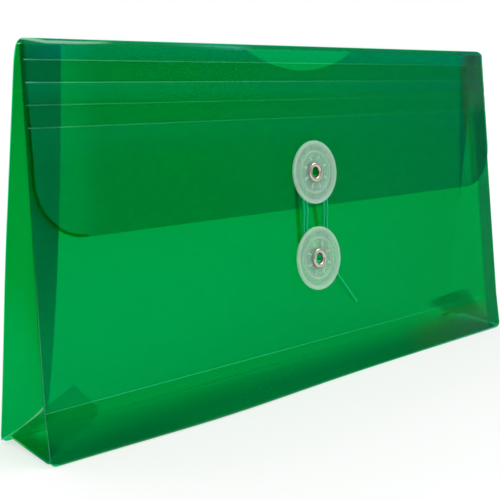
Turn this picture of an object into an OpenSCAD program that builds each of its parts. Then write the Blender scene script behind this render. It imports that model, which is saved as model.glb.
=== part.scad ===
// Button and string envelope of clear green plastic sheet, standing with its gusset open.
// Millimetres, +Z up, X along the width, the front faces -Y, origin at the middle of the foot.

/* [Envelope] */
// Width of the front and back panels
panel_w = 254; // [200:1:300]
// Height of the panels along the sheet
panel_h = 133.35; // [115:0.05:160]
// Distance between the feet of the two panels, inside faces
spread = 28.3; // [20:0.1:40]
// Thickness of the plastic sheet
sheet_t = 0.3; // [0.2:0.05:0.5]
// Radius of the lower corners
corner_r = 4; // [2:0.5:8]
// Radius of the front panel's upper corners
top_r = 1; // [0.5:0.5:4]
// Height of the crease across the lower front
crease_h = 16.4; // [14:0.1:22]
// Height at which the bottom panel meets the back panel
flange_h = 1.6; // [0.6:0.1:3]
// Half width of each side gusset, edge to pleat
gusset_half = 15.3; // [15:0.1:22]
// Height at which the side gussets end
gusset_foot = 5; // [2:0.5:10]

/* [Thumb notch] */
// Width of the notch at the top of the front panel
notch_w = 62; // [40:1:80]
// Depth of the notch
notch_d = 8.2; // [5:0.1:12]

/* [Flap] */
// Length of the flap from the top fold
flap_len = 64; // [60:0.5:66]
// Distance from each side of the flap to the panel's side
flap_side = 0.5; // [0:0.1:4]
// Radius of the flap's lower corners
flap_r = 19; // [10:0.5:24]
// Distance from one score line to the next
score_pitch = 7.1; // [6:0.1:7.5]
// Space between the flap and the front panel
flap_gap = 0.6; // [0.6:0.05:1.2]
// Height of the fold's crown above the panels' upper edges
fold_h = 1.3; // [1:0.05:2]

/* [Buttons and eyelets] */
// Diameter of a button
button_d = 25; // [18:0.5:26]
// Distance from the top fold to the upper button's middle
upper_drop = 50.3; // [48:0.1:51]
// Distance from the top fold to the lower button's middle
lower_drop = 84.3; // [84:0.1:88]
// Height of the hub under a button, where the string winds
hub_h = 1.35; // [1.35:0.05:2]
// Diameter of the hub
hub_d = 6; // [5.8:0.1:6.2]
// Thickness of a button's plate
plate_t = 0.9; // [0.7:0.05:1.2]
// Outer diameter of the eyelet's barrel
barrel_d = 4.6; // [4.4:0.1:4.7]
// Diameter of the eyelet's front flange
flange_d = 8; // [7:0.1:9]

/* [String] */
// Diameter of the string
string_d = 1.2; // [0.8:0.05:1.2]
// Radius of the string's first wrap, at its middle
wrap_r = 3.7; // [3.7:0.05:4]
// Growth of the wrap radius in each half turn
wrap_step = 0.85; // [0.82:0.01:1]

/* [End tabs] */
// Length of an end tab on its rear edge
tab_rear = 27.5; // [20:0.5:34]
// Length of an end tab on its front edge
tab_front = 21; // [16:0.5:26]
// Tilt of the end tabs above the bottom panel
tab_tilt = 29; // [20:1:34]

/* [Hidden] */
$fn = 96;

// Clearances
layer_gap = 0.1;
score_gap = 0.1;
edge_gap = 0.15;
bore_gap = 0.05;
bend_gap = 0.05;
hole_gap = 0.2;
notch_gap = 0.4;
foot_lift = 0.2;
tab_lift = 0.3;
tab_gap = 1.95;
gusset_gap = 0.8;

// Half distance of the inside faces from the middle plane, at the foot and at the top
half_foot = spread / 2;
half_top = 0.6;
lean = asin((half_foot - half_top) / panel_h);

// Upper edges of the panels along the sheet, and half the distance of their inside faces there
top_v = panel_h - fold_h;
half_edge = half_foot - top_v * sin(lean);

// The flap lies over the front panel, and its top bend carries on from the back panel
flap_w = panel_w - 2 * flap_side;
flap_in = sheet_t + flap_gap;
flap_out = flap_in + sheet_t;
bend_out = (flap_out + 2 * half_edge * cos(lean) + sheet_t * cos(2 * lean)) / (1 + cos(2 * lean));
bend_in = bend_out - sheet_t;
bend_y = half_edge + (sheet_t - bend_out) * cos(lean);
bend_z = top_v * cos(lean) + (sheet_t - bend_out) * sin(lean);
bend_v = (bend_y + half_foot) * sin(lean) + bend_z * cos(lean);

// Button and eyelet
rim_bead = 0.35;
rear_roll = 0.4;
front_roll = 0.55;
barrel_wall = 0.35;
bore_d = barrel_d + 2 * bore_gap;
hole_d = barrel_d + 2 * hole_gap;

// String levels above the front panel's inside face, and the places of its bends
upper_level = flap_out + hub_h / 2;
lower_level = sheet_t + hub_h / 2;
leave_flap = flap_len + 2;
reach_front = 71;
// Tail of the string, as distance right of the middle and distance below the top fold
tail = [[7.3, 82], [8, 86], [9.6, 89], [11.6, 92], [14, 95], [16.6, 98], [19.4, 101.4], [22.4, 105]];

// Places children drawn with Y up the sheet and Z outward on the front panel's inside face
module on_front() {
    translate([0, -half_foot, 0]) rotate([90 - lean, 0, 0]) children();
}

// The same on the back panel
module on_back() {
    mirror([0, 1, 0]) on_front() children();
}

// A flat outline with round corners at its lower or upper end only
module sheet_outline(w, low, high, r_low, r_high) {
    difference() {
        translate([-w / 2, low]) square([w, high - low]);
        for (side = [-1, 1]) {
            if (r_low > 0) corner_cut(side, -1, [side * w / 2, low], r_low);
            if (r_high > 0) corner_cut(side, 1, [side * w / 2, high], r_high);
        }
    }
}

// What a round corner takes away, where sx and sy point out of the sheet
module corner_cut(sx, sy, corner, r) {
    difference() {
        translate(corner + [sx > 0 ? -r : -1, sy > 0 ? -r : -1]) square(r + 1);
        translate(corner - r * [sx, sy]) circle(r);
    }
}

// Arc cut in the top edge, worked out from its chord and depth
module thumb_notch(top) {
    r = (pow(notch_w / 2, 2) + notch_d * notch_d) / (2 * notch_d);
    translate([0, top - notch_d + r]) circle(r);
}

module front_panel() {
    top = top_v - notch_gap;
    color("mediumseagreen") on_front() linear_extrude(sheet_t) difference() {
        sheet_outline(panel_w, crease_h + score_gap / 2, top, 0, top_r);
        thumb_notch(top);
        translate([0, panel_h - lower_drop]) circle(d = hole_d);
    }
}

module front_lower_strip() {
    color("mediumseagreen") on_front() linear_extrude(sheet_t)
        sheet_outline(panel_w, 0, crease_h - score_gap / 2, corner_r, 0);
}

module back_panel() {
    color("seagreen") on_back() linear_extrude(sheet_t)
        sheet_outline(panel_w, 0, top_v - edge_gap, corner_r, 0);
}

// The bottom slopes from the foot of the front strip up to the flange height on the back panel
bottom_front = [-half_foot + layer_gap, foot_lift + sheet_t];
bottom_back = [half_foot - flange_h * tan(lean) - layer_gap, flange_h + sheet_t];

module bottom_panel() {
    color("seagreen") translate([-panel_w / 2 + corner_r, 0, 0]) rotate([90, 0, 90])
        linear_extrude(panel_w - 2 * corner_r) polygon([
            bottom_front, bottom_back, bottom_back - [0, sheet_t], bottom_front - [0, sheet_t]
        ]);
}

// Middle line of a gusset half at height z: the edge beside its panel, then the pleat
function inside_y(z) = half_foot - (half_foot - half_top) * z / (panel_h * cos(lean));
function gusset_edge_y(z) = inside_y(z) - layer_gap - sheet_t / 2;
pleat_y = sheet_t / 2 + layer_gap / 2;
function pleat_inset(z) = sqrt(pow(gusset_half, 2) - pow(gusset_edge_y(z) - pleat_y, 2));

// Four corners of the half's cross section on the rear side of the left gusset
function gusset_ring(z) =
    let (
        edge = [-panel_w / 2 + layer_gap, gusset_edge_y(z)],
        pleat = [-panel_w / 2 + layer_gap + pleat_inset(z), pleat_y],
        along = (pleat - edge) / norm(pleat - edge),
        across = [-along[1], along[0]] * sheet_t / 2
    )
    [for (p = [edge + across, edge - across, pleat - across, pleat + across]) [p[0], p[1], z]];

module gusset_half_sheet() {
    steps = 24;
    top = top_v * cos(lean) - gusset_gap;
    rings = [for (i = [0 : steps]) gusset_ring(gusset_foot + (top - gusset_foot) * i / steps)];
    sides = [for (i = [0 : steps - 1], k = [0 : 3])
        [4 * i + k, 4 * i + (k + 1) % 4, 4 * i + 4 + (k + 1) % 4, 4 * i + 4 + k]];
    // Both broad faces are split on the same diagonal, so the twisted sheet keeps its thickness
    split = [for (i = [0 : len(sides) - 1]) let (f = sides[i])
        each i % 4 == 3
            ? [[f[0], f[3], f[1]], [f[1], f[3], f[2]]]
            : [[f[0], f[2], f[1]], [f[0], f[3], f[2]]]];
    last = 4 * steps;
    ends = [[0, 1, 2], [0, 2, 3], [last, last + 2, last + 1], [last, last + 3, last + 2]];
    polyhedron([for (r = rings) each r], concat(split, ends));
}

module left_gusset_rear() { color("forestgreen") gusset_half_sheet(); }
module left_gusset_front() { color("forestgreen") mirror([0, 1, 0]) gusset_half_sheet(); }
module right_gusset_rear() { color("forestgreen") mirror([1, 0, 0]) gusset_half_sheet(); }
module right_gusset_front() { color("forestgreen") mirror([1, 0, 0]) mirror([0, 1, 0]) gusset_half_sheet(); }

// Tab on the left end of the bottom panel, tilted up inside, with one round corner at the front.
// The right one is the same piece turned round.
module end_tab_sheet() {
    r = corner_r;
    depth = half_foot - tab_gap;
    hinge = [-panel_w / 2 + corner_r + layer_gap, 0, flange_h + sheet_t + tab_lift];
    translate(hinge) rotate([0, -tab_tilt, 0])
        linear_extrude(sheet_t) {
            polygon([[0, -depth], [tab_front - r, -depth], [tab_front, -depth + r], [tab_rear, depth], [0, depth]]);
            translate([tab_front - r, -depth + r]) circle(r);
        }
}

module left_end_tab() { color("green") end_tab_sheet(); }
module right_end_tab() { color("green") rotate(180) end_tab_sheet(); }

// Bend over the top, from the back panel's upper edge round to the first strip
bend_steps = 18;
function bend_arc(r, from, to) = [for (i = [0 : bend_steps])
    let (a = from + (to - from) * i / bend_steps)
    [bend_y + r * cos(a), bend_z + r * sin(a)]];

module flap_bend() {
    color("mediumseagreen") translate([-flap_w / 2, 0, 0]) rotate([90, 0, 90]) linear_extrude(flap_w)
        polygon(concat(bend_arc(bend_out, lean, 180 - lean), bend_arc(bend_in, 180 - lean, lean)));
}

// First strip down the front, as far as the first score line
module flap_strip_1() {
    low = panel_h - score_pitch + score_gap / 2;
    color("mediumseagreen") on_front() translate([-flap_w / 2, low, flap_in])
        cube([flap_w, bend_v - bend_gap - low, sheet_t]);
}

module flap_strip(number) {
    color("mediumseagreen") on_front()
        translate([-flap_w / 2, panel_h - number * score_pitch + score_gap / 2, flap_in])
            cube([flap_w, score_pitch - score_gap, sheet_t]);
}

module flap_strip_2() { flap_strip(2); }
module flap_strip_3() { flap_strip(3); }
module flap_strip_4() { flap_strip(4); }

module flap_panel() {
    color("mediumseagreen") on_front() translate([0, 0, flap_in]) linear_extrude(sheet_t) difference() {
        sheet_outline(flap_w, panel_h - flap_len, panel_h - 4 * score_pitch - score_gap / 2, flap_r, 0);
        translate([0, panel_h - upper_drop]) circle(d = hole_d);
    }
}

// Round button: a hub under a plate with a rim bead, a raised ring and radial ribs
module button_disc() {
    base = hub_h;
    face = base + plate_t;
    edge = button_d / 2;
    rotate_extrude() polygon([
        [bore_d / 2, layer_gap], [hub_d / 2, layer_gap], [hub_d / 2, base], [edge - 0.5, base],
        [edge, base + 0.4], [edge, face], [edge - 0.4, face + rim_bead], [edge - 1.2, face + rim_bead],
        [edge - 1.8, face], [edge * 0.68, face], [edge * 0.67, face + 0.25], [edge * 0.63, face + 0.25],
        [edge * 0.62, face], [bore_d / 2, face]
    ]);
    for (i = [0 : 7])
        rotate(i * 45 + 22.5) translate([edge * 0.37, -0.35, face - 0.1]) cube([edge * 0.22, 0.7, 0.3]);
}

// Rolled eyelet: barrel with a round front flange and a flat clinched rear flange
module eyelet_body() {
    face = hub_h + plate_t;
    outer = barrel_d / 2;
    inner = outer - barrel_wall;
    roll_r = (flange_d / 2 - inner) / 2;
    rear = sheet_t + layer_gap / 2;
    rotate_extrude() {
        translate([inner, -rear - rear_roll]) square([barrel_wall, face + rear + rear_roll + 0.1]);
        translate([inner, -rear - rear_roll]) square([1.7, rear_roll]);
        translate([inner + roll_r, face + bore_gap]) intersection() {
            scale_roll(roll_r);
            translate([-roll_r, 0]) square([2 * roll_r, front_roll]);
        }
    }
}

// Half round cap of the front flange as a flat arc
module scale_roll(r) {
    bow = (r * r + front_roll * front_roll) / (2 * front_roll);
    translate([0, front_roll - bow]) circle(bow);
}

module on_upper() { on_front() translate([0, panel_h - upper_drop, flap_out]) children(); }
module on_lower() { on_front() translate([0, panel_h - lower_drop, sheet_t]) children(); }
module upper_button() { color("honeydew") on_upper() button_disc(); }
module lower_button() { color("honeydew") on_lower() button_disc(); }
module upper_eyelet() { color("silver") on_upper() eyelet_body(); }
module lower_eyelet() { color("silver") on_lower() eyelet_body(); }

// String route: half turns round the two hubs in turn, on radii that grow, then the tail.
// Each point is distance right of the middle, distance below the top fold, height off the sheet.
turn_steps = 11;
function on_upper_hub(half) = half % 2 == 1;
function half_turn(half) = [for (j = [0 : turn_steps])
    let (
        r = wrap_r + wrap_step * (half + j / turn_steps),
        a = on_upper_hub(half) ? 180 - 180 * j / turn_steps : -180 * j / turn_steps,
        drop = on_upper_hub(half) ? upper_drop : lower_drop
    )
    [r * cos(a), drop - r * sin(a), on_upper_hub(half) ? upper_level : lower_level]];
function strand(half) =
    let (
        x = (on_upper_hub(half) ? 1 : -1) * (wrap_r + wrap_step * (half + 1)),
        pair = [[x, leave_flap, upper_level], [x, reach_front, lower_level]]
    )
    on_upper_hub(half) ? pair : [pair[1], pair[0]];
route = concat(
    [for (half = [0 : 3]) each concat(half_turn(half), strand(half))],
    [for (p = tail) [p[0], p[1], lower_level]]
);

// Rings across the route, each square to the line between its neighbours
string_sides = 6;
function string_ring(i) =
    let (
        before = route[max(i - 1, 0)],
        after = route[min(i + 1, len(route) - 1)],
        along = (after - before) / norm(after - before),
        side = cross([0, 0, 1], along) / norm(cross([0, 0, 1], along)),
        up = cross(along, side)
    )
    [for (k = [0 : string_sides - 1])
        route[i] + string_d / 2 * (cos(60 * k) * side + sin(60 * k) * up)];

module string() {
    last = len(route) - 1;
    points = [for (i = [0 : last]) each [for (p = string_ring(i)) [p[0], panel_h - p[1], p[2]]]];
    wall = [for (i = [0 : last - 1], k = [0 : string_sides - 1])
        let (a = i * string_sides + k, b = i * string_sides + (k + 1) % string_sides)
        each [[a, b, b + string_sides], [a, b + string_sides, a + string_sides]]];
    start = [for (k = [1 : string_sides - 2]) [0, k + 1, k]];
    end = [for (k = [1 : string_sides - 2]) [0, k, k + 1] + last * string_sides * [1, 1, 1]];
    color("limegreen") on_front() polyhedron(points, concat(wall, start, end));
}

// Length of the string and its least gap to itself, over points that aren't neighbours
string_length = sum_steps(0);
function sum_steps(i) = i >= len(route) - 1 ? 0 : norm(route[i + 1] - route[i]) + sum_steps(i + 1);
self_gap = min([for (i = [0 : len(route) - 1], j = [i + 8 : 1 : len(route) - 1])
    norm(route[i] - route[j])]) - string_d;
echo(lean = lean, bend_out = bend_out, bend_y = bend_y, bend_z = bend_z, bend_v = bend_v);
echo(string_length = string_length, string_self_gap = self_gap, string_points = len(route));

front_panel();
front_lower_strip();
bottom_panel();
back_panel();
left_gusset_front();
left_gusset_rear();
right_gusset_front();
right_gusset_rear();
left_end_tab();
right_end_tab();
flap_bend();
flap_strip_1();
flap_strip_2();
flap_strip_3();
flap_strip_4();
flap_panel();
upper_button();
lower_button();
upper_eyelet();
lower_eyelet();
string();
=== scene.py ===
from math import asin, cos, exp, pi, radians, sin, sqrt, tan

import bmesh
import bpy
from mathutils import Matrix, Vector


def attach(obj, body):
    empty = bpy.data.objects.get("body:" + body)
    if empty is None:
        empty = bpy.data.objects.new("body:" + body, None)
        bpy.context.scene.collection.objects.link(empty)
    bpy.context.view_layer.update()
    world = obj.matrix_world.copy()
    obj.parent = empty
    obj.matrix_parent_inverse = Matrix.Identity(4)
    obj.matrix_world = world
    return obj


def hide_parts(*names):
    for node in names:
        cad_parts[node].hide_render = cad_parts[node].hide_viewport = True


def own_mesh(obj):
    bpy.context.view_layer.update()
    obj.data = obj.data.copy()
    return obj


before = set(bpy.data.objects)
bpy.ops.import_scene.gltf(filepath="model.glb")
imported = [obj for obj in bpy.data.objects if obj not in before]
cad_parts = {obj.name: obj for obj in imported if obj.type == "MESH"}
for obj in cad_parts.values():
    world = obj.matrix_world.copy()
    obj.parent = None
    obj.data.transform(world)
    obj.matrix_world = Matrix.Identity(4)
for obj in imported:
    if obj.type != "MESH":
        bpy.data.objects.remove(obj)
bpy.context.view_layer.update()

# Sizes of the envelope in metres, as the CAD has them
PANEL_W = 0.254
PANEL_H = 0.13335
HALF_FOOT = 0.01415
HALF_TOP = 0.0006
SHEET = 0.0003
CREASE_H = 0.0164
FLANGE_H = 0.0016
FOLD_H = 0.0013
GUSSET_HALF = 0.0153
GUSSET_FOOT = 0.005
FLAP_W = 0.253
FLAP_LEN = 0.064
FLAP_R = 0.019
SCORE_PITCH = 0.0071
FLAP_OUT = 0.0012
UPPER_DROP = 0.0503
LOWER_DROP = 0.0843
HUB_H = 0.00135

# Sizes that are set here: the slant of the gussets' foot, where a button is thick, and gaps between sheets
GUSSET_RISE = 0.0125
GUSSET_DEPTH = 0.0084
RIM_FROM, RIM_TO = 0.0104, 0.0117
RING_R = 0.0081
RIB_R = 0.006
RIB_COUNT = 8
SHEET_GAP = 0.0001
CREASE_GAP = 0.00005

# What follows from them: the lean of the panels, the bend over the top and the bottom panel
LEAN = asin((HALF_FOOT - HALF_TOP) / PANEL_H)
TOP_V = PANEL_H - FOLD_H
HALF_EDGE = HALF_FOOT - TOP_V * sin(LEAN)
BEND_OUT = (FLAP_OUT + 2 * HALF_EDGE * cos(LEAN) + SHEET * cos(2 * LEAN)) / (1 + cos(2 * LEAN))
BEND_Y = HALF_EDGE + (SHEET - BEND_OUT) * cos(LEAN)
BEND_Z = TOP_V * cos(LEAN) + (SHEET - BEND_OUT) * sin(LEAN)
BEND_V = (BEND_Y + HALF_FOOT) * sin(LEAN) + BEND_Z * cos(LEAN)
FOLD_TOP = BEND_Z + BEND_OUT
SIDE_TAPER = (HALF_FOOT - HALF_TOP) / (PANEL_H * cos(LEAN))

BOTTOM_LIFT = 0.0005
BOTTOM_INSET = 0.0006
BOTTOM_FRONT = Vector((0, -HALF_FOOT + SHEET_GAP, BOTTOM_LIFT))
BOTTOM_REAR = Vector((0, HALF_FOOT - FLANGE_H * tan(LEAN) - SHEET_GAP, FLANGE_H + SHEET))
BOTTOM_SIDE = PANEL_W / 2 - BOTTOM_INSET
BOTTOM_DRAW = 0.002
BOTTOM_ROUND = 0.003
TAB_START, TAB_SPAN = 0.13, 0.84
TAB_REAR_Y = BOTTOM_FRONT.lerp(BOTTOM_REAR, TAB_START + TAB_SPAN).y

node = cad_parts


def on_front(x, v, n):
    """A point x from the middle, v up the front panel and n out of its inside face."""
    return Vector((x, v * sin(LEAN) - n * cos(LEAN) - HALF_FOOT, v * cos(LEAN) + n * sin(LEAN)))


def on_back(x, v, n):
    """The same on the back panel."""
    p = on_front(x, v, n)
    return Vector((p.x, -p.y, p.z))


def outward_of(panel):
    """The direction out of a panel's face, for on_front or on_back."""
    return panel(0, 0, 1) - panel(0, 0, 0)


def inside_y(z):
    """How far the panels' inside is from the middle at a height."""
    return HALF_FOOT - z * SIDE_TAPER


def select_only(piece):
    bpy.ops.object.select_all(action="DESELECT")
    bpy.context.view_layer.objects.active = piece
    piece.select_set(True)


# Camera at the photograph's viewing angle: place in metres, turns in radians, focal length in pixels
CAMERA_EYE = (-0.289672, -0.271629, 0.121532)
CAMERA_TURN = (0.760, -0.078, 0.003)
CAMERA_SHIFT = (0.01707, -0.19724)
FOCAL_PX = 993.642
PICTURE_PX = 500
SENSOR_MM = 36


def add_camera():
    yaw, pitch, roll = CAMERA_TURN
    ahead = Vector((sin(yaw) * cos(pitch), cos(yaw) * cos(pitch), sin(pitch)))
    right = Vector((cos(yaw), -sin(yaw), 0))
    up = right.cross(ahead)
    right, up = right * cos(roll) + up * sin(roll), up * cos(roll) - right * sin(roll)
    lens = bpy.data.cameras.new("photo_camera")
    lens.sensor_width = SENSOR_MM
    lens.lens = FOCAL_PX * SENSOR_MM / PICTURE_PX
    lens.shift_x, lens.shift_y = CAMERA_SHIFT
    lens.clip_start = 0.01
    eye = bpy.data.objects.new("photo_camera", lens)
    turn = Matrix((right, up, -ahead)).transposed().to_4x4()
    eye.matrix_world = Matrix.Translation(CAMERA_EYE) @ turn
    bpy.context.scene.collection.objects.link(eye)
    bpy.context.scene.camera = eye


add_camera()

# String, wound in half turns on the two hubs in turn, then its tail: x and drop in millimetres
STRING_D = 0.0012
WRAP_R = 0.0037
WRAP_STEP = 0.00085
HALF_TURNS = 4
POINTS_PER_TURN = 22
LEAVES_FLAP = FLAP_LEN + 0.002
MEETS_FRONT = 0.071
TAIL = [(7.3, 82), (8, 86), (9.6, 89), (11.6, 92), (14, 95), (16.6, 98), (19.4, 101.4), (22.4, 105)]
UPPER_LEVEL = FLAP_OUT + HUB_H / 2
LOWER_LEVEL = SHEET + HUB_H / 2


def string_route():
    """Points along the middle of the string, from the lower hub to the end of the tail."""
    route = []
    for half in range(HALF_TURNS):
        upper = half % 2 == 1
        drop, level = (UPPER_DROP, UPPER_LEVEL) if upper else (LOWER_DROP, LOWER_LEVEL)
        for j in range(POINTS_PER_TURN + 1):
            r = WRAP_R + WRAP_STEP * (half + j / POINTS_PER_TURN)
            a = pi - pi * j / POINTS_PER_TURN if upper else -pi * j / POINTS_PER_TURN
            route.append((r * cos(a), drop - r * sin(a), level))
        x = (1 if upper else -1) * (WRAP_R + WRAP_STEP * (half + 1))
        pair = [(x, LEAVES_FLAP, UPPER_LEVEL), (x, MEETS_FRONT, LOWER_LEVEL)]
        route += pair if upper else pair[::-1]
    route += [(x / 1000, d / 1000, LOWER_LEVEL) for x, d in TAIL]
    return [on_front(x, PANEL_H - drop, level) for x, drop, level in route]


def make_string():
    points = string_route()
    line = bpy.data.curves.new("wound_string", "CURVE")
    line.dimensions = "3D"
    line.bevel_depth = STRING_D / 2
    line.bevel_resolution = 3
    line.use_fill_caps = True
    spline = line.splines.new("POLY")
    spline.points.add(len(points) - 1)
    for p, q in zip(spline.points, points):
        p.co = (*q, 1)
    piece = bpy.data.objects.new("wound_string", line)
    bpy.context.scene.collection.objects.link(piece)
    select_only(piece)
    bpy.ops.object.convert(target="MESH")
    piece = bpy.context.view_layer.objects.active
    bpy.ops.object.shade_smooth()
    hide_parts("string")
    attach(piece, "front")
    outward = outward_of(on_front)
    on_front(0, 0, SHEET)
    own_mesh(piece)
    return piece


wound_string = make_string()


# Materials are built from nodes by plain arithmetic
class Wire:
    """An output socket of a shader node."""

    def __init__(self, graph, socket):
        self.graph, self.socket = graph, socket

    def maths(self, operation, *values):
        return self.graph.node("ShaderNodeMath", {"operation": operation}, list(values))

    def __add__(self, other):
        return self.maths("ADD", self, other)

    def __sub__(self, other):
        return self.maths("SUBTRACT", self, other)

    def __rsub__(self, other):
        return self.maths("SUBTRACT", other, self)

    def __mul__(self, other):
        return self.maths("MULTIPLY", self, other)

    def __truediv__(self, other):
        return self.maths("DIVIDE", self, other)

    def __pow__(self, other):
        return self.maths("POWER", self, other)

    def __abs__(self):
        return self.maths("ABSOLUTE", self)

    def clamp(self):
        return self.graph.node("ShaderNodeClamp", {}, [self, 0.0, 1.0])


class Graph:
    """The shader nodes of a material or of the world."""

    def __init__(self, owner):
        owner.use_nodes = True
        self.owner, self.tree = owner, owner.node_tree
        self.tree.nodes.clear()

    def node(self, kind, settings=None, sockets=None, out=0):
        made = self.tree.nodes.new(kind)
        for key, value in (settings or {}).items():
            setattr(made, key, value)
        pairs = sockets.items() if isinstance(sockets, dict) else enumerate(sockets or [])
        for key, value in pairs:
            if isinstance(value, Wire):
                self.tree.links.new(value.socket, made.inputs[key])
            else:
                made.inputs[key].default_value = value
        return Wire(self, made.outputs[out]) if made.outputs else None

    def outputs(self, wire, *keys):
        """Other outputs of the node that a wire comes from."""
        return [Wire(self, wire.socket.node.outputs[key]) for key in keys]

    def split(self, vector):
        return self.outputs(self.node("ShaderNodeSeparateXYZ", {}, [vector]), 0, 1, 2)

    def rays(self, *kinds):
        return self.outputs(self.node("ShaderNodeLightPath"), *kinds)

    def place(self):
        """Object coordinates."""
        return self.node("ShaderNodeTexCoord", out=3)

    def noise(self, vector, scale, detail=3.0):
        return self.node("ShaderNodeTexNoise", {}, {"Vector": vector, "Scale": scale, "Detail": detail})

    def mix(self, factor, a, b):
        return self.node("ShaderNodeMix", {"data_type": "RGBA"}, {0: factor, 6: a, 7: b}, out=2)

    def surface(self, shader, end="ShaderNodeOutputMaterial"):
        self.node(end, {}, {"Surface": shader})
        return self.owner


def new_finish(name):
    return Graph(bpy.data.materials.new(name))


# What one face of a sheet lets through
TINT = (0.03, 0.765, 0.42, 1)
# Lighter tints on the gussets and tabs stand in partly for light that their sheets reflect
LEFT_TINT = (0.05, 0.83, 0.5, 1)
RIGHT_TINT = (0.05, 0.8, 0.46, 1)
LEFT_TAB_TINT = (0.08, 0.87, 0.57, 1)
RIGHT_TAB_TINT = (0.03, 0.78, 0.58, 1)
FROST_TINT = (0.86, 0.98, 0.93, 1)
WHITE = (1, 1, 1, 1)

# The colours that haze and creases give to it, and the colours of painted sheen, highlights and shade
HAZE = (0.0, 0.46, 0.62, 1)
HAZE_DEEP = (0.0, 0.42, 0.5, 1)
SHEEN = (0.0, 0.66, 0.5, 1)
LEFT_PAINTED_SHEEN = (0.0, 0.62, 0.32, 1)
WHITENED_AND_EDGE_LIGHT = (0.24, 0.85, 0.76, 1)
LIT = (0.62, 0.88, 0.86, 1)
EDGE_GLOW = (0.75, 0.9, 0.42, 1)
OLIVE = (0.0, 0.1, 0.0, 1)
DEEP = (0.0, 0.1, 0.09, 1)
BEND_GREEN = (0.03, 0.32, 0.26, 1)
# Painted shadow of the strands
STRAND_SHADOW = (0.0, 0.27, 0.0, 1)
COOL = (0.0, 0.12, 0.22, 1)
# Painted shade with a bluish painted sheen, towards the right end of the flap
COOL_SHADE_AND_SHEEN = (0.0, 0.23, 0.4, 1)
SKY = (0.0, 0.62, 0.72, 1)
SKY_LIT = (0.22, 0.9, 1.0, 1)
DUSKY = (0.05, 0.15, 0.14, 1)

# Two tones each of the frosted plastic, the plating and the string, and one of the floor
FROST = ((0.66, 0.84, 0.76, 1), (0.74, 0.9, 0.83, 1))
PLATING = ((0.66, 0.58, 0.51, 1), (0.56, 0.48, 0.42, 1))
STRING_GREEN = ((0.0, 0.49, 0.17, 1), (0.0, 0.43, 0.14, 1))
FLOOR_GREY = (0.935, 0.935, 0.935, 1)

# Half widths of the pale lines
CREASE_LINE = 0.00016
EDGE_LINE = 0.0002
SCORE_LINE = 0.00022


def band(value, at, width):
    """1 where a value equals `at`, falling to 0 at `width` from it."""
    return (1 - abs(value - at) / width).clamp()


def ramp(value, low, high):
    """0 at low, 1 at high, and clamped outside."""
    return ((value - low) / (high - low)).clamp()


class Place:
    """Where a point of the sheet is: x, y, z in the frame and v up the front panel."""

    def __init__(self, f):
        self.f = f
        self.where = f.place()
        self.x, self.y, self.z = f.split(self.where)
        self.v = (self.y + HALF_FOOT) * sin(LEAN) + self.z * cos(LEAN)


def film_finish(name, *layers, tint=TINT, fade=None, index=1.15):
    """Tinted clear sheet.

    A layer is a mask and the colour that the sheet takes there. Fade is a mask of where the sheet clears.
    """
    f = new_finish(name)
    at = Place(f)
    cloud = f.noise(at.where, 22, 2)
    factor = (cloud - 0.5) * 0.012 + 0.032
    colour = f.mix(cloud, HAZE, HAZE_DEEP)
    for mask, tone in layers:
        amount = mask(at)
        factor = factor + amount
        colour = f.mix((amount * 20).clamp(), colour, tone)
    gloss = f.node("ShaderNodeBsdfPrincipled", {}, {
        "Base Color": colour, "Roughness": cloud * 0.1 + 0.16, "IOR": index})
    clear = f.node("ShaderNodeBsdfTransparent", {}, {"Color": tint})
    if fade:
        bare = f.node("ShaderNodeBsdfTransparent", {}, {"Color": WHITE})
        clear = f.node("ShaderNodeMixShader", {}, [fade(at), clear, bare])
    return f.surface(f.node("ShaderNodeMixShader", {}, [factor.clamp(), clear, gloss]))


def plain_finish(name, tones, rough, metal=0.0, gloss=0.5):
    f = new_finish(name)
    cloud = f.noise(f.place(), 180, 3)
    return f.surface(f.node("ShaderNodeBsdfPrincipled", {}, {
        "Base Color": f.mix(cloud, *tones), "Roughness": cloud * 0.1 + rough, "Metallic": metal,
        "Specular IOR Level": gloss}))


def frosted_finish(name, drop):
    """Frosted plastic, whiter where the rim, the raised ring and the ribs are thicker."""
    f = new_finish(name)
    at = Place(f)
    up = at.v - (PANEL_H - drop)
    radius = (at.x * at.x + up * up) ** 0.5
    spoke = up.maths("ARCTAN2", up, at.x) * (RIB_COUNT / (2 * pi))
    ribs = band(spoke.maths("FRACT", spoke), 0.5, 0.16) * band(radius, RIB_R, 0.0016)
    thick = (ramp(radius, RIM_FROM, RIM_TO) + band(radius, RING_R, 0.0008) * 0.7 + ribs * 0.7).clamp()
    cloud = f.noise(at.where, 300, 3)
    gloss = f.node("ShaderNodeBsdfPrincipled", {}, {
        "Base Color": f.mix(cloud, *FROST), "Roughness": cloud * 0.2 + 0.25})
    clear = f.node("ShaderNodeBsdfTransparent", {}, {"Color": FROST_TINT})
    return f.surface(f.node("ShaderNodeMixShader", {}, [cloud * 0.1 + thick * 0.2 + 0.19, clear, gloss]))


def dress(piece, material):
    slots = piece.data.materials
    slots.clear()
    slots.append(material)


# Masks of the sheets: how much of a layer's colour there is at a place; most layers are painted sheen,
# highlights and shade
def crease_line(at):
    """The pale crease low on the front, stronger at the left."""
    strength = ramp(at.x, 0.1, -0.02) * 0.15 + 0.06
    return band(at.v, CREASE_H, CREASE_LINE) * strength * ramp(at.x, 0.119, 0.112)


def front_lines(at):
    """The pale crease, and painted highlights on the side edges of the front."""
    side = band(abs(at.x), PANEL_W / 2, EDGE_LINE) * ramp(at.v, 0.075, 0.02) * 0.1
    return crease_line(at) + side


def strip_lines(at):
    """The same on the strip below it, with a painted highlight on its foot."""
    side = band(abs(at.x), PANEL_W / 2, EDGE_LINE) * 0.12
    return crease_line(at) + side + band(at.v, 0.0002, 0.0007) * 0.06


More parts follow.
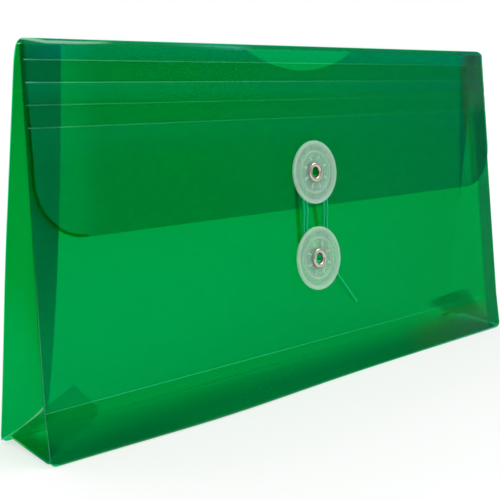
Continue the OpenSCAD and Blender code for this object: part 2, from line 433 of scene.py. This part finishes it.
def score_lines(at):
    """Pale score lines, the two upper ones stronger, all brightest at the left end."""
    left = ramp(at.x, 0.06, -0.125)
    end = ramp(at.x, -0.121, -0.1265)
    lines = None
    for k, strength, tip in ((1, 0.2, 0.22), (2, 0.2, 0.3), (3, 0.1, 0.0), (4, 0.1, 0.0)):
        line = band(at.v, PANEL_H - SCORE_PITCH * k, SCORE_LINE)
        line = line * (left * (0.9 * strength) + end * tip + 0.15 * strength)
        lines = line if lines is None else lines + line
    return lines * (ramp(at.x, 0.116, 0.108) * 0.7 + 0.3)


def strip_sheen(at):
    """Painted sheen: each strip of the flap tilts a little, so it is strongest under some of the lines."""
    left = ramp(at.x, 0.1, -0.12)
    glow = None
    for k, reach, strength in ((0, 0.0055, 0.05), (2, 0.0066, 0.06), (4, 0.012, 0.03)):
        top = PANEL_H - SCORE_PITCH * k
        below = ramp(at.v, top - reach, top) * ramp(at.v, top + 0.0001, top) * strength
        glow = below if glow is None else glow + below
    return glow * (left * 0.4 + 0.6)


def fold_front(at):
    """The half of the fold that faces forwards."""
    return ramp(at.y, BEND_Y + 0.0002, BEND_Y - 0.0004)


def fold_shine(at):
    """Light caught in the waves of the soft top fold, towards its left end."""
    wave = at.f.noise(at.f.node("ShaderNodeCombineXYZ", {}, [at.x, 0.0, 0.0]), 55, 1)
    sag = ramp(at.x, -0.1265, -0.118) * ramp(at.x, -0.072, -0.1) * 0.0011
    level = FOLD_TOP - 0.0003 - sag - (wave - 0.5) * 0.0008
    return band(at.z, level, 0.0006) * fold_front(at) * ramp(at.x, -0.092, -0.106) * 0.16


def notch_shine(at):
    """A streak of light on the fold that widens towards the thumb notch."""
    along = ramp(at.x, -0.072, -0.036)
    streak = band(at.z, FOLD_TOP - 0.0008 - along * 0.0009, 0.0012)
    return streak * along * fold_front(at) * ramp(at.x, -0.027, -0.035) * 0.045


def fold_depth(at):
    """The sheet is seen edge on in the bend, so it is deeper there."""
    return ramp(at.z, FOLD_TOP - 0.0024, FOLD_TOP - 0.0012) * 0.1


def fold_gloom(at):
    """Painted shade, a little deeper still away from the left end."""
    return fold_depth(at) * ramp(at.x, -0.09, 0.03) * 0.2


def top_sheen(at):
    """The first strip faces upwards a little and catches more light from above."""
    return ramp(at.x, 0.114, 0.108) * (ramp(at.x, -0.125, -0.113) * 0.02 + 0.008)


def flap_edge(at):
    """Shade along the left edge of the flap and round its corner."""
    across = FLAP_R - FLAP_W / 2 - at.x
    down = PANEL_H - FLAP_LEN + FLAP_R - at.v
    across, down = across.maths("MAXIMUM", across, 0.0), down.maths("MAXIMUM", down, 0.0)
    inside = FLAP_R - (across * across + down * down) ** 0.5
    low = ramp(at.v, PANEL_H - 0.02, PANEL_H - 0.055)
    return band(inside, 0.0002, 0.0009) * ramp(at.x, -0.106, -0.111) * (low * 0.3 + 0.04)


def left_sheen(at):
    """Painted sheen over the gusset at the left end."""
    return ramp(at.x, -0.1, -0.112) * 0.065


def right_shade(at):
    """Painted shade in a band along the right side, over the seam: darker low down, lighter under the flap.
    """
    under_flap = ramp(at.v, PANEL_H - FLAP_LEN - 0.001, PANEL_H - FLAP_LEN + 0.003)
    return ramp(at.x, 0.117, 0.1187) * (ramp(at.v, 0.02, 0.07) * 0.06 - under_flap * 0.08 + 0.26)


def flap_shade(at):
    """Painted shade: the right end of the flap is dusky near the top."""
    end = ramp(at.x, 0.1075, 0.109) * 0.1 + ramp(at.x, 0.111, 0.1135) * 0.12
    return end * ramp(at.v, 0.085, 0.11)


def flap_low_shade(at):
    """Painted shade below that, in a deeper green."""
    return ramp(at.x, 0.1105, 0.1135) * ramp(at.v, 0.11, 0.085) * 0.2


def side_clear(at):
    """The right gusset's two halves lie against each other near the top and let more light through."""
    return ramp(at.z, 0.066, 0.078) * 0.5


def broad_shade(at):
    """The right end is turned away from the light."""
    return ramp(at.x, -0.06, 0.12) * 0.06


def foot_shade(at):
    """Painted shade and a dusky painted reflection on the foot of the strip, towards the right."""
    return ramp(at.x, 0.05, 0.11) * ramp(at.v, 0.0155, 0.009) * ramp(at.x, 0.121, 0.116) * 0.2


def string_shade(at):
    """Shadows of the strands on the sheet under them."""
    lines = band(at.x, -0.008, 0.0014) + band(at.x + at.v * 0.13, 0.0106, 0.0014)
    low, high = PANEL_H - LOWER_DROP, PANEL_H - UPPER_DROP
    return lines * ramp(at.v, low, low + 0.002) * 0.65 * ramp(at.v, high, high - 0.002)


def lower_sheen(at):
    """The lower part catches more light from the surface that the envelope stands on, most at the left."""
    return ramp(at.v, 0.105, 0.035) * (ramp(at.x, 0.12, -0.1) * 0.035 + 0.01)


def side_sheen(at):
    """Painted sheen on the lower part of a gusset."""
    return ramp(at.z, 0.1, 0.02) * 0.04


def side_shade(at):
    """Shade near the top of the left gusset and along its pleat."""
    inner = 1 - at.y / inside_y(at.z)
    pleat = ramp(inner, 0.35, 0.75) * ramp(at.z, 0.01, 0.06) * ramp(at.y, 0.0, 0.0005)
    return ramp(at.z, 0.03, 0.12) * 0.17 + pleat * 0.06


def side_lines(at):
    """Painted highlight on the edge of the rear gusset's slanting foot."""
    foot = at.z - (PANEL_W / 2 - abs(at.x)) * (GUSSET_RISE / GUSSET_DEPTH)
    return band(foot, 0.001, 0.0006) * ramp(at.y, 0.0, 0.0005) * ramp(at.x, -0.1, -0.11) * 0.45


def bottom_depth(at):
    """The floor of the pocket lies in its own shade, deepest along the front."""
    front = ramp(at.y, -0.003, -0.011) * ramp(at.x, -0.06, -0.095)
    return ramp(at.y, 0.0115, -0.006) * (ramp(at.x, -0.12, -0.085) * 0.09 + 0.15) + front * 0.12


def bottom_fade(at):
    """Clear where the foot of the back stands behind it."""
    return ramp(at.y, 0.0101, 0.0117) * ramp(at.x, 0.122, 0.116)


def tab_blur(at):
    """The right tab is seen through three sheets, as a soft patch."""
    x, y = (at.x - 0.112) / 0.016, at.y / 0.0135
    return ramp((x * x + y * y) ** 0.5, 0.55, 1.0) * ramp(at.x, 0.1225, 0.118)


def bottom_lines(at):
    """Light caught by the ends of the bottom panel."""
    end = abs(at.x) + (at.y - BOTTOM_FRONT.y) * (BOTTOM_DRAW / (BOTTOM_REAR.y - BOTTOM_FRONT.y))
    return band(end, BOTTOM_SIDE - 0.0003, 0.0008) * ramp(at.y, 0.002, 0.01) * 0.5


def tab_shade(at):
    """Painted shade, deepest in the front corner, and along the rear edge, before the dark fold of the
    gusset.
    """
    rear = ramp(at.y, 0.003, 0.008)
    corner = ramp(at.x, -0.1195, -0.1225) * (1 - rear)
    return corner * 0.26 + rear * ramp(at.x, -0.111, -0.115) * 0.24


def tab_fade(at):
    """Its front edge is lost in the shade of the strip."""
    return ramp(at.y, -0.006, -0.012) * ramp(at.x, -0.105, -0.112)


def tab_lines(at):
    """Painted highlight on the rear edge of the left tab."""
    return band(at.y, TAB_REAR_Y, 0.0008) * 0.2


film = film_finish("tinted_film", (lower_sheen, SHEEN))
left_film = film_finish("left_side_film", (side_sheen, SHEEN), (side_shade, OLIVE), (side_lines, LIT),
                        tint=LEFT_TINT)
right_film = film_finish("right_side_film", (side_sheen, SHEEN), tint=RIGHT_TINT, fade=side_clear)
front_film = film_finish("front_film", (lower_sheen, SHEEN), (broad_shade, COOL), (right_shade, DEEP),
                         (string_shade, STRAND_SHADOW), (front_lines, WHITENED_AND_EDGE_LIGHT))
strip_film = film_finish("strip_film", (broad_shade, COOL), (foot_shade, DUSKY), (right_shade, DEEP),
                         (strip_lines, WHITENED_AND_EDGE_LIGHT))
FLAP_LAYERS = ((strip_sheen, SHEEN), (left_sheen, LEFT_PAINTED_SHEEN), (broad_shade, COOL_SHADE_AND_SHEEN), (flap_shade, DUSKY),
               (flap_low_shade, DEEP))
flap_film = film_finish("flap_film", *FLAP_LAYERS, (flap_edge, OLIVE), (score_lines, WHITENED_AND_EDGE_LIGHT))
fold_film = film_finish("fold_film", *FLAP_LAYERS, (top_sheen, SKY), (fold_depth, BEND_GREEN),
                        (fold_gloom, DEEP), (flap_edge, OLIVE), (score_lines, WHITENED_AND_EDGE_LIGHT),
                        (notch_shine, SKY_LIT), (fold_shine, LIT), index=1.0)
bottom_film = film_finish("bottom_film", (bottom_depth, DEEP), (bottom_lines, EDGE_GLOW), fade=bottom_fade)
tab_films = {-1: film_finish("left_tab_film", (tab_shade, OLIVE), (tab_lines, LIT), tint=LEFT_TAB_TINT,
                             fade=tab_fade),
             1: film_finish("right_tab_film", tint=RIGHT_TAB_TINT, fade=tab_blur)}
plated = plain_finish("plated_eyelet", PLATING, 0.16, 1.0)
dress(wound_string, plain_finish("green_string", STRING_GREEN, 0.6, gloss=0.1))


# Sheets that are bowed or bent, cut flat first and then set up in their places
def choose(blank, test):
    """Selects the corners of a mesh in edit mode by their place."""
    cage = bmesh.from_edit_mesh(blank.data)
    for vert in cage.verts:
        vert.select = test(vert.co)
    cage.select_flush_mode()
    bmesh.update_edit_mesh(blank.data)


def steps(first, last, step):
    """Even places between two ends, about a step apart."""
    count = max(1, round((last - first) / step))
    return [first + (last - first) * i / count for i in range(1, count)]


def cut_blank(name, width, low, high, rounded=(), across=0.009, up=0.006, more=()):
    """A flat sheet in X and Y with some corners rounded, scored into a grid fine enough to bow."""
    bpy.ops.object.select_all(action="DESELECT")
    bpy.ops.mesh.primitive_plane_add(size=1)
    blank = bpy.context.active_object
    blank.name = blank.data.name = name
    bpy.ops.object.mode_set(mode="EDIT")
    bpy.ops.transform.resize(value=(width, high - low, 1))
    bpy.ops.transform.translate(value=(0, (low + high) / 2, 0))
    for side, end, radius in rounded:
        corner = Vector((side * width / 2, low if end < 0 else high, 0))
        choose(blank, lambda co: (co - corner).length < 1e-5)
        bpy.ops.mesh.bevel(offset=radius, affect="VERTICES", segments=8)
    columns = [*steps(-width / 2, width / 2, across), *more]
    cuts = [(Vector((at, 0, 0)), Vector((1, 0, 0))) for at in columns]
    cuts += [(Vector((0, at, 0)), Vector((0, 1, 0))) for at in steps(low, high, up)]
    for point, facing in cuts:
        bpy.ops.mesh.select_all(action="SELECT")
        bpy.ops.mesh.bisect(plane_co=point, plane_no=facing)
    bpy.ops.object.mode_set(mode="OBJECT")
    return blank


def set_up(blank, place, stands_for, body, material, flip=False):
    """Moves each point of a flat sheet to its place, thickens the sheet inwards and hands it to its body."""
    for vert in blank.data.vertices:
        vert.co = place(vert.co.x, vert.co.y)
    select_only(blank)
    if flip:
        bpy.ops.object.mode_set(mode="EDIT")
        bpy.ops.mesh.select_all(action="SELECT")
        bpy.ops.mesh.flip_normals()
        bpy.ops.object.mode_set(mode="OBJECT")
    wall = blank.modifiers.new("wall", "SOLIDIFY")
    wall.thickness = SHEET
    wall.offset = -1
    bpy.ops.object.modifier_apply(modifier="wall")
    bpy.ops.object.shade_smooth_by_angle(angle=radians(40))
    dress(blank, material)
    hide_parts(stands_for)
    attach(blank, body)
    return blank


# The soft fold over the top: where its bend starts, how its ends are rounded, how much of it is flat
FOLD_DIP = 0.0007
FOLD_END_R = 0.0028
FOLD_END_DROP = 0.0015
FOLD_FLAT = 0.3
FOLD_WIDENS = 0.5
CROWN_GAP = 0.0002

# How far the back panel bows out, and how far the foot of the front flares, most at one place along it
BACK_BOW = 0.0016
BACK_BOW_FROM = 0.07
BACK_ROUND = 0.007
FOOT_FLARE = 0.0008
FOOT_BOW = 0.0034
FLARE_AT, FLARE_WIDTH = 0.28, 0.22

# Rounded corners of the back and of the front strip: side, end, radius
BACK_CORNERS = [(-1, -1, 0.0026), (1, -1, 0.0026), (-1, 1, 0.0004), (1, 1, 0.0012)]
STRIP_CORNERS = [(-1, -1, 0.002), (1, -1, 0.0032)]


def back_bow(v):
    """How far the back panel bows out, v up on it."""
    low = min(1.0, max(0.0, v / BACK_BOW_FROM))
    high = max(0.0, (v - TOP_V) / BACK_ROUND + 1)
    less = 1 - 0.25 * max(0.0, v / PANEL_H - 0.5) * 2
    return BACK_BOW * low * low * (3 - 2 * low) * less * (1 - high * high)


def foot_flare(x):
    """How far the foot of the front flares at x."""
    u = x / PANEL_W + 0.5
    return FOOT_FLARE + FOOT_BOW * exp(-((u - FLARE_AT) / FLARE_WIDTH) ** 2)


def strip_point(x, v):
    return on_front(x, v, SHEET + foot_flare(x) * (1 - v / CREASE_H))


def back_point(x, v):
    return on_back(x, v, SHEET + back_bow(v))


def make_back():
    blank = cut_blank("bowed_back", PANEL_W, 0, TOP_V - FOLD_DIP - SHEET_GAP, BACK_CORNERS, up=0.0022)
    set_up(blank, back_point, "back_panel", "back", film, flip=True)


def make_front_strip():
    blank = cut_blank("flared_front_strip", PANEL_W, 0, CREASE_H - CREASE_GAP, STRIP_CORNERS, up=0.002)
    set_up(blank, strip_point, "front_lower_strip", "front_strip", strip_film)


def bottom_point(x, t):
    """A point of the bottom panel's upper face, t from 0 at the front to 1 at the back."""
    p = BOTTOM_FRONT.lerp(BOTTOM_REAR, t)
    return Vector((x, p.y - foot_flare(x) * (1 - t) ** 2, p.z))


def bottom_end(t):
    """How far the bottom panel reaches to each side: round at the front, drawn in towards the back."""
    past = max(0.0, 1 - t * 10) * BOTTOM_ROUND
    return BOTTOM_SIDE - BOTTOM_DRAW * t - BOTTOM_ROUND + sqrt(BOTTOM_ROUND ** 2 - past ** 2)


def bottom_place(x, t):
    return bottom_point(x * bottom_end(t) / BOTTOM_SIDE, t)


def make_bottom():
    blank = cut_blank("bowed_bottom", 2 * BOTTOM_SIDE, 0, 1, up=0.1)
    set_up(blank, bottom_place, "bottom_panel", "bottom", bottom_film)


# Side gussets: two halves on each side that meet on a pleat inside
GUSSET_TOP = TOP_V * cos(LEAN) - 0.0008
GUSSET_LIFT = 0.0008
LIFT_REACH = 0.05
PLEAT_Y = 0.0002
PLEAT_SLACK = 0.00045
PLEAT_ROUND = 0.0006


def slant(s):
    """Height of the crease that cuts off a gusset's lower front corner, clear of the folded bottom panel."""
    return GUSSET_RISE + GUSSET_LIFT * s


def right_foot(s):
    """Height of the right gusset's foot behind, and of its corner piece in front."""
    return 0.001 + 0.004 * s


def gusset_foot(side, face, s):
    """Height of the foot of one gusset half, s from 0 on the panel's edge to 1 on the pleat."""
    if face < 0:
        return slant(s)
    return GUSSET_RISE * s + GUSSET_LIFT if side < 0 else right_foot(s)


def gusset_point(side, face, s, z):
    """s goes from 0 on the panel's edge to 1 on the pleat, face is -1 in front and 1 behind."""
    v = z / cos(LEAN)
    bow = back_bow(v) if face > 0 else foot_flare(side * PANEL_W / 2) * max(0.0, 1 - v / CREASE_H)
    edge = inside_y(z) + bow - SHEET_GAP
    inset = sqrt(GUSSET_HALF ** 2 - (inside_y(z) - PLEAT_SLACK) ** 2)
    straight = side > 0 and face > 0
    round_off = 0.0 if straight else PLEAT_ROUND * sin(pi * s) * min(1.0, edge / 0.006)
    x = side * (PANEL_W / 2 - SHEET_GAP - inset * s)
    return Vector((x, face * (edge + (PLEAT_Y - edge) * s - round_off), z))


def make_gusset(side, face):
    name = ("left" if side < 0 else "right") + "_gusset_" + ("front" if face < 0 else "rear")
    blank = cut_blank(name + "_sheet", 1, GUSSET_FOOT, GUSSET_TOP, across=0.1, up=0.006)
    finish = left_film if side < 0 else right_film

    def place(x, z):
        rise = gusset_foot(side, face, x + 0.5) - GUSSET_FOOT
        return gusset_point(side, face, x + 0.5, z + rise * max(0.0, 1 - (z - GUSSET_FOOT) / LIFT_REACH))

    made = set_up(blank, place, name, "front" if face < 0 else "back", finish, flip=side * face < 0)
    sheet = on_front if face < 0 else on_back
    panel, outward = sheet(0, 0, 0), outward_of(sheet)
    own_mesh(made)
    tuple(outward)
    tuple(panel)


def fold_with_bottom(made):
    """Gives a piece on the bottom panel its own copy of its mesh."""
    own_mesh(made)


def make_corner():
    """The right gusset's lower front corner, below its slanting crease."""
    blank = cut_blank("right_gusset_corner_sheet", 1, 0, 1, across=0.1, up=0.2)

    def place(x, t):
        low, high = right_foot(x + 0.5), slant(x + 0.5) - SHEET_GAP
        return gusset_point(1, -1, x + 0.5, low + (high - low) * t)

    fold_with_bottom(set_up(blank, place, "right_gusset_front", "bottom", right_film, flip=True))


# End tabs of the bottom panel, standing up inside: tilt in degrees and reach, at the front and at the back
TABS = {-1: ((26.2, 0.0237), (24.7, 0.0278)), 1: ((44, 0.03), (22, 0.0235))}
TAB_ROUND = 0.004


def make_tab(side):
    name = ("left" if side < 0 else "right") + "_end_tab"
    blank = cut_blank(name + "_sheet", 1, 0, 1, across=0.1, up=0.05)
    (front_tilt, front_reach), (rear_tilt, rear_reach) = TABS[side]

    def place(x, t):
        tilt = radians(front_tilt + (rear_tilt - front_tilt) * t)
        far = front_reach + (rear_reach - front_reach) * t
        short, sharp = (t, 0.16) if side < 0 else (1 - t, 0.3)
        far -= TAB_ROUND * max(0.0, 1 - short / sharp) ** 2
        reach = far * (x + 0.5)
        along = TAB_START + TAB_SPAN * t
        foot = bottom_point(side * (bottom_end(along) - SHEET), along)
        return foot + Vector((-side * reach * cos(tilt), 0, reach * sin(tilt) + SHEET))

    fold_with_bottom(set_up(blank, place, name, "bottom", tab_films[side], flip=side > 0))


# The soft fold over the top, from the back panel round to the flap's first score line
def end_drop(x):
    """How far the crown comes down on its round ends, the left one rounded less."""
    radius = FOLD_END_R if x > 0 else FOLD_END_R * 0.5
    past = max(0.0, abs(x) - (FLAP_W / 2 - radius))
    return FOLD_END_DROP * (1 - sqrt(1 - min(1.0, past / radius) ** 2))


def fold_point(x, t):
    """t goes from 0 at the first score line over the crown to 1 at the back panel's upper edge."""
    low = PANEL_H - SCORE_PITCH + CREASE_GAP
    start = BEND_V - FOLD_DIP
    if t < FOLD_FLAT:
        return on_front(x, low + (start - low) * t / FOLD_FLAT, FLAP_OUT)
    drop = end_drop(x)
    if x < 0:
        x *= 1 + (PANEL_W / FLAP_W - 1) * min(1.0, (t - FOLD_FLAT) / FOLD_WIDENS)
    front = on_front(x, start, FLAP_OUT)
    back = on_back(x, TOP_V - FOLD_DIP, SHEET + back_bow(TOP_V))
    a = pi * (t - FOLD_FLAT) / (1 - FOLD_FLAT)
    along = (1 - cos(a)) / 2
    rise = (FOLD_TOP - CROWN_GAP - front.z - (back.z - front.z) * 0.5 - drop) * sin(a)
    return Vector((x, front.y + (back.y - front.y) * along, front.z + (back.z - front.z) * along + rise))


def make_fold():
    shares = (0.01, 0.04, 0.1, 0.2, 0.35, 0.6, 1)
    ends = [side * (FLAP_W / 2 - FOLD_END_R * k) for side in (-1, 1) for k in shares]
    blank = cut_blank("soft_top_fold", FLAP_W, 0, 1, across=0.005, up=0.035, more=ends)
    made = set_up(blank, fold_point, "flap_bend", "flap_fold", fold_film)
    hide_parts("flap_bend", "flap_strip_1")


make_back()
make_fold()
make_front_strip()
make_bottom()
for side in (-1, 1):
    make_gusset(side, -1)
    make_gusset(side, 1)
    make_tab(side)
make_corner()

# Buttons and eyelets, turned from their outlines in millimetres: radius, height above the sheet
BUTTON_OUTLINE = [
    (2.35, 0.1), (3.0, 0.1), (3.0, 1.25), (3.15, 1.35), (11.9, 1.35), (12.3, 1.5), (12.5, 1.8),
    (12.5, 2.2), (12.4, 2.45), (12.15, 2.58), (11.8, 2.6), (11.4, 2.55), (11.1, 2.4), (10.85, 2.28),
    (10.5, 2.25), (8.75, 2.25), (8.55, 2.31), (8.35, 2.45), (8.1, 2.5), (7.85, 2.45), (7.65, 2.31),
    (7.45, 2.2), (4.3, 2.2), (2.35, 2.2)]
EYELET_OUTLINE = [
    (2.05, -0.75), (3.55, -0.75), (3.65, -0.65), (3.65, -0.45), (3.55, -0.36), (2.3, -0.36),
    (2.3, 2.25), (3.6, 2.27), (3.74, 2.34), (3.78, 2.48), (3.72, 2.64), (3.55, 2.78), (3.27, 2.87),
    (2.95, 2.9), (2.6, 2.84), (2.32, 2.7), (2.13, 2.5), (2.05, 2.25)]
RIB_LEVEL = 0.00225
RIB_SIZE = (0.0028, 0.0007, 0.0004)
RIB_BEVEL = 0.00014


def edit_all(piece):
    select_only(piece)
    bpy.ops.object.mode_set(mode="EDIT")
    bpy.ops.mesh.select_all(action="SELECT")


def turned(name, outline, around=72):
    """Spins a closed outline about Z."""
    mesh = bpy.data.meshes.new(name)
    count = len(outline)
    edges = [(i, (i + 1) % count) for i in range(count)]
    mesh.from_pydata([(r / 1000, 0, h / 1000) for r, h in outline], edges, [])
    piece = bpy.data.objects.new(name, mesh)
    bpy.context.scene.collection.objects.link(piece)
    edit_all(piece)
    bpy.ops.mesh.spin(steps=around, angle=2 * pi, center=(0, 0, 0), axis=(0, 0, 1))
    bpy.ops.mesh.select_all(action="SELECT")
    bpy.ops.mesh.remove_doubles(threshold=1e-6)
    bpy.ops.mesh.normals_make_consistent(inside=False)
    bpy.ops.object.mode_set(mode="OBJECT")
    return piece


def add_ribs(button):
    """Rounded ribs between the eyelet and the raised ring."""
    for i in range(RIB_COUNT):
        edit_all(button)
        bpy.ops.mesh.select_all(action="DESELECT")
        turn = radians(360 / RIB_COUNT * (i + 0.5))
        bpy.ops.mesh.primitive_cube_add(size=1, location=(RIB_R * cos(turn), RIB_R * sin(turn), RIB_LEVEL),
                                        rotation=(0, 0, turn), scale=RIB_SIZE)
        bpy.ops.mesh.bevel(offset=RIB_BEVEL, segments=2, affect="EDGES")
        bpy.ops.object.mode_set(mode="OBJECT")


def fix_on(piece, drop, level, stands_for, body, material):
    """Sets a turned piece on the front, `drop` below the top fold, its Z out of the sheet."""
    here = on_front(0, PANEL_H - drop, level)
    across, up = Vector((1, 0, 0)), on_front(0, 1, 0) - on_front(0, 0, 0)
    turn = Matrix((across, up, outward_of(on_front))).transposed().to_4x4()
    piece.data.transform(Matrix.Translation(here) @ turn)
    select_only(piece)
    bpy.ops.object.shade_smooth_by_angle(angle=radians(50))
    dress(piece, material)
    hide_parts(stands_for)
    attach(piece, body)


FIXINGS = (("upper", UPPER_DROP, FLAP_OUT, "flap"), ("lower", LOWER_DROP, SHEET, "front"))
for which, drop, level, eyelet_body in FIXINGS:
    disc = turned(which + "_button_disc", BUTTON_OUTLINE)
    add_ribs(disc)
    fix_on(disc, drop, level, which + "_button", which + "_button",
           frosted_finish("frosted_" + which, drop))
    ring = turned(which + "_eyelet_ring", EYELET_OUTLINE)
    fix_on(ring, drop, level, which + "_eyelet", eyelet_body, plated)

dress(node["front_panel"], front_film)
for name in ("flap_strip_2", "flap_strip_3", "flap_strip_4", "flap_panel"):
    dress(node[name], flap_film)


# Floor, world and lamps, each lamp with the way its light travels and its strength
LAMPS = (("key_light", (-0.45, 0.4, -0.8), 1.1), ("rear_light", (0.15, -0.55, -0.8), 0.6))
LAMP_ANGLE = radians(40)


def make_floor():
    f = new_finish("pale_floor")
    matt = f.node("ShaderNodeBsdfDiffuse", {}, {"Color": FLOOR_GREY})
    camera, glossy, through = f.rays("Is Camera Ray", "Is Glossy Ray", "Is Transmission Ray")
    white = f.node("ShaderNodeEmission", {}, {"Color": WHITE, "Strength": 1.0})
    seen = (camera + glossy + through).clamp() * 0.6
    material = f.surface(f.node("ShaderNodeMixShader", {}, [seen, matt, white]))
    bpy.ops.object.select_all(action="DESELECT")
    bpy.ops.mesh.primitive_plane_add(size=12, location=(0, 0, -0.0001))
    floor = bpy.context.active_object
    floor.name = "pale_floor"
    dress(floor, material)


def make_world():
    """White to the camera and through the sheets, softly graded for the light."""
    f = Graph(bpy.data.worlds.new("studio"))
    up = f.split(f.node("ShaderNodeTexCoord"))[2]
    shade = f.node("ShaderNodeMapRange", {}, {"Value": up, "From Min": -0.1, "From Max": 0.8, "To Min": 0.35})
    soft = f.node("ShaderNodeBackground", {}, {"Color": shade, "Strength": 0.85})
    white = f.node("ShaderNodeBackground", {}, {"Color": WHITE, "Strength": 1.0})
    camera, through = f.rays("Is Camera Ray", "Is Transmission Ray")
    either = camera.maths("MAXIMUM", camera, through)
    mixed = f.node("ShaderNodeMixShader", {}, [either, soft, white])
    bpy.context.scene.world = f.surface(mixed, "ShaderNodeOutputWorld")


def make_lamps():
    for name, travel, strength in LAMPS:
        lamp = bpy.data.lights.new(name, "SUN")
        lamp.energy = strength
        lamp.angle = LAMP_ANGLE
        holder = bpy.data.objects.new(name, lamp)
        holder.rotation_euler = Vector(travel).to_track_quat("-Z", "Y").to_euler()
        bpy.context.scene.collection.objects.link(holder)


make_floor()
make_world()
make_lamps()
scene = bpy.context.scene
scene.view_settings.view_transform = "Standard"
scene.cycles.transparent_max_bounces = 40

bpy.context.view_layer.update()
